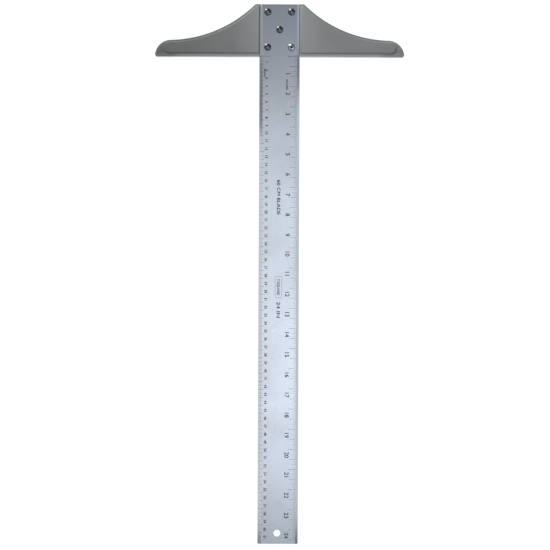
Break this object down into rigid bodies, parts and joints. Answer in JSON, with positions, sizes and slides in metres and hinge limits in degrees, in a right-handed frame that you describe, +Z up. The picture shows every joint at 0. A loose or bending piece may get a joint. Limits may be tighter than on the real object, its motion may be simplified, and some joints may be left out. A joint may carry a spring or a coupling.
{
  "type": "drawing t-square",
  "caption": "Drawing T-square: bevelled metal blade with inch and metric scales, blind-riveted into a channel in a moulded plastic head with swept wings.",
  "frame": {"origin": "foot of the head's working edge, on the centre line of the blade", "axes": "+X across the blade towards the inch scale, +Y from the blade's free end towards the head, +Z up through the graduated face"},
  "size_m": [0.3146, 0.6805, 0.011],
  "materials": {
    "blade_metal": "fine satin, lengthways grain",
    "head_plastic": "grey moulded plastic, fine texture, satin",
    "rivet_metal": "polished dome",
    "mandrel_steel": "broken end, dull",
    "washer_steel": "zinc plated",
    "scale_ink": "printed graduations and numerals, dark grey ink"
  },
  "bodies": {
    "root": {"blade": "blade_metal", "head": "head_plastic", "rivet_back_left": "rivet_metal", "rivet_back_right": "rivet_metal", "rivet_middle": "rivet_metal", "rivet_front_left": "rivet_metal", "rivet_front_right": "rivet_metal", "mandrel_back_left": "mandrel_steel", "mandrel_back_right": "mandrel_steel", "mandrel_middle": "mandrel_steel", "mandrel_front_left": "mandrel_steel", "mandrel_front_right": "mandrel_steel", "washer_back_left": "washer_steel", "washer_back_right": "washer_steel", "washer_middle": "washer_steel", "washer_front_left": "washer_steel", "washer_front_right": "washer_steel"}
  },
  "joints": []
}
